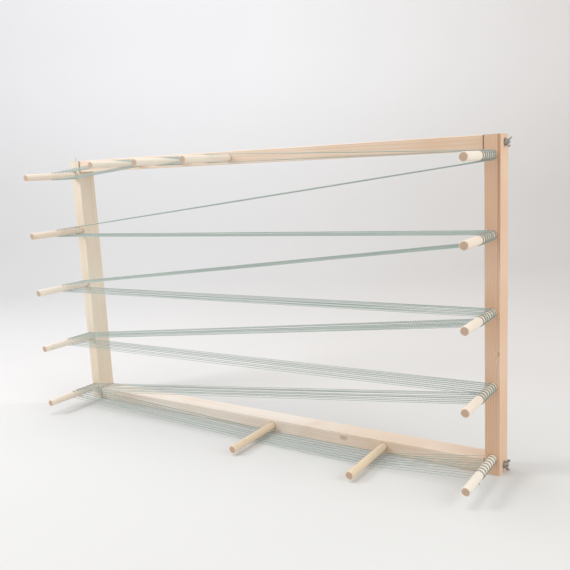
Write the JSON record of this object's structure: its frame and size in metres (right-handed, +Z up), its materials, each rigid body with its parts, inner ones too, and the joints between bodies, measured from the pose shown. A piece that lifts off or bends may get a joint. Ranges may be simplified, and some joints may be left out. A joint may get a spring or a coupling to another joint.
{
  "type": "warping frame",
  "caption": "Upright rectangular wooden warping frame with forward-pointing round pegs, wing-nut corner joints and a yarn warp wound to and fro across it.",
  "frame": {"origin": "on the floor, in the middle of the frame's width and of the posts' depth", "axes": "+X along the width with the cross pegs toward -X, the pegs point toward -Y, +Z up"},
  "size_m": [1.0488, 0.187, 0.5979],
  "materials": {
    "timber": "planed, unfinished",
    "peg_wood": "turned, unfinished",
    "dowel_wood": "fluted, glued",
    "zinc_steel": "zinc plated",
    "yarn": "plied cotton yarn"
  },
  "bodies": {
    "frame": {"left_post": "timber", "right_post": "timber", "top_rail": "timber", "bottom_rail": "timber", "stud_left_bottom": "zinc_steel", "dowels_left_bottom": "dowel_wood", "stud_left_top": "zinc_steel", "dowels_left_top": "dowel_wood", "stud_right_bottom": "zinc_steel", "dowels_right_bottom": "dowel_wood", "stud_right_top": "zinc_steel", "dowels_right_top": "dowel_wood", "warp_end_01": "yarn", "warp_end_02": "yarn", "warp_end_03": "yarn", "warp_end_04": "yarn", "warp_end_05": "yarn", "warp_end_06": "yarn", "warp_end_07": "yarn", "warp_end_08": "yarn", "warp_end_09": "yarn", "warp_end_10": "yarn", "warp_end_11": "yarn", "warp_end_12": "yarn", "warp_end_13": "yarn", "start_tie": "yarn", "finish_tie": "yarn", "start_tail": "yarn", "finish_tail": "yarn"},
    "left_peg_1": {"left_peg_1": "peg_wood"},
    "left_peg_2": {"left_peg_2": "peg_wood"},
    "left_peg_3": {"left_peg_3": "peg_wood"},
    "left_peg_4": {"left_peg_4": "peg_wood"},
    "left_peg_5": {"left_peg_5": "peg_wood"},
    "right_peg_1": {"right_peg_1": "peg_wood"},
    "right_peg_2": {"right_peg_2": "peg_wood"},
    "right_peg_3": {"right_peg_3": "peg_wood"},
    "right_peg_4": {"right_peg_4": "peg_wood"},
    "right_peg_5": {"right_peg_5": "peg_wood"},
    "cross_peg_1": {"cross_peg_1": "peg_wood"},
    "cross_peg_2": {"cross_peg_2": "peg_wood"},
    "cross_peg_3": {"cross_peg_3": "peg_wood"},
    "lower_peg_1": {"lower_peg_1": "peg_wood"},
    "lower_peg_2": {"lower_peg_2": "peg_wood"},
    "washer_left_bottom": {"washer_left_bottom": "zinc_steel"},
    "wing_nut_left_bottom": {"wing_nut_left_bottom": "zinc_steel"},
    "washer_left_top": {"washer_left_top": "zinc_steel"},
    "wing_nut_left_top": {"wing_nut_left_top": "zinc_steel"},
    "washer_right_bottom": {"washer_right_bottom": "zinc_steel"},
    "wing_nut_right_bottom": {"wing_nut_right_bottom": "zinc_steel"},
    "washer_right_top": {"washer_right_top": "zinc_steel"},
    "wing_nut_right_top": {"wing_nut_right_top": "zinc_steel"}
  },
  "joints": [
    {"name": "left_peg_1_pull", "type": "slide", "parent": "frame", "child": "left_peg_1", "axis": [0, -1, 0], "range_m": [0, 0.035]},
    {"name": "left_peg_2_pull", "type": "slide", "parent": "frame", "child": "left_peg_2", "axis": [0, -1, 0], "range_m": [0, 0.035]},
    {"name": "left_peg_3_pull", "type": "slide", "parent": "frame", "child": "left_peg_3", "axis": [0, -1, 0], "range_m": [0, 0.035]},
    {"name": "left_peg_4_pull", "type": "slide", "parent": "frame", "child": "left_peg_4", "axis": [0, -1, 0], "range_m": [0, 0.035]},
    {"name": "left_peg_5_pull", "type": "slide", "parent": "frame", "child": "left_peg_5", "axis": [0, -1, 0], "range_m": [0, 0.035]},
    {"name": "right_peg_1_pull", "type": "slide", "parent": "frame", "child": "right_peg_1", "axis": [0, -1, 0], "range_m": [0, 0.035]},
    {"name": "right_peg_2_pull", "type": "slide", "parent": "frame", "child": "right_peg_2", "axis": [0, -1, 0], "range_m": [0, 0.035]},
    {"name": "right_peg_3_pull", "type": "slide", "parent": "frame", "child": "right_peg_3", "axis": [0, -1, 0], "range_m": [0, 0.035]},
    {"name": "right_peg_4_pull", "type": "slide", "parent": "frame", "child": "right_peg_4", "axis": [0, -1, 0], "range_m": [0, 0.035]},
    {"name": "right_peg_5_pull", "type": "slide", "parent": "frame", "child": "right_peg_5", "axis": [0, -1, 0], "range_m": [0, 0.035]},
    {"name": "cross_peg_1_pull", "type": "slide", "parent": "frame", "child": "cross_peg_1", "axis": [0, -1, 0], "range_m": [0, 0.035]},
    {"name": "cross_peg_2_pull", "type": "slide", "parent": "frame", "child": "cross_peg_2", "axis": [0, -1, 0], "range_m": [0, 0.035]},
    {"name": "cross_peg_3_pull", "type": "slide", "parent": "frame", "child": "cross_peg_3", "axis": [0, -1, 0], "range_m": [0, 0.035]},
    {"name": "lower_peg_1_pull", "type": "slide", "parent": "frame", "child": "lower_peg_1", "axis": [0, -1, 0], "range_m": [0, 0.035]},
    {"name": "lower_peg_2_pull", "type": "slide", "parent": "frame", "child": "lower_peg_2", "axis": [0, -1, 0], "range_m": [0, 0.035]},
    {"name": "nut_travel_left_bottom", "type": "slide", "parent": "frame", "child": "washer_left_bottom", "axis": [-1, 0, 0], "range_m": [0, 0.0088]},
    {"name": "nut_turn_left_bottom", "type": "hinge", "parent": "washer_left_bottom", "child": "wing_nut_left_bottom", "pos_m": [-0.5149, 0.001, 0.013], "axis": [-1, 0, 0], "range_deg": [0, 3960]},
    {"name": "nut_travel_left_top", "type": "slide", "parent": "frame", "child": "washer_left_top", "axis": [-1, 0, 0], "range_m": [0, 0.0088]},
    {"name": "nut_turn_left_top", "type": "hinge", "parent": "washer_left_top", "child": "wing_nut_left_top", "pos_m": [-0.5149, 0.001, 0.575], "axis": [-1, 0, 0], "range_deg": [0, 3960]},
    {"name": "nut_travel_right_bottom", "type": "slide", "parent": "frame", "child": "washer_right_bottom", "axis": [1, 0, 0], "range_m": [0, 0.0088]},
    {"name": "nut_turn_right_bottom", "type": "hinge", "parent": "washer_right_bottom", "child": "wing_nut_right_bottom", "pos_m": [0.5149, 0.001, 0.013], "axis": [1, 0, 0], "range_deg": [0, 3960]},
    {"name": "nut_travel_right_top", "type": "slide", "parent": "frame", "child": "washer_right_top", "axis": [1, 0, 0], "range_m": [0, 0.0088]},
    {"name": "nut_turn_right_top", "type": "hinge", "parent": "washer_right_top", "child": "wing_nut_right_top", "pos_m": [0.5149, 0.001, 0.575], "axis": [1, 0, 0], "range_deg": [0, 3960]}
  ],
  "couplings": [
    {"joint": "nut_travel_left_bottom", "follows": "nut_turn_left_bottom", "m_per_rad": 0.00012732},
    {"joint": "nut_travel_left_top", "follows": "nut_turn_left_top", "m_per_rad": 0.00012732},
    {"joint": "nut_travel_right_bottom", "follows": "nut_turn_right_bottom", "m_per_rad": 0.00012732},
    {"joint": "nut_travel_right_top", "follows": "nut_turn_right_top", "m_per_rad": 0.00012732}
  ]
}
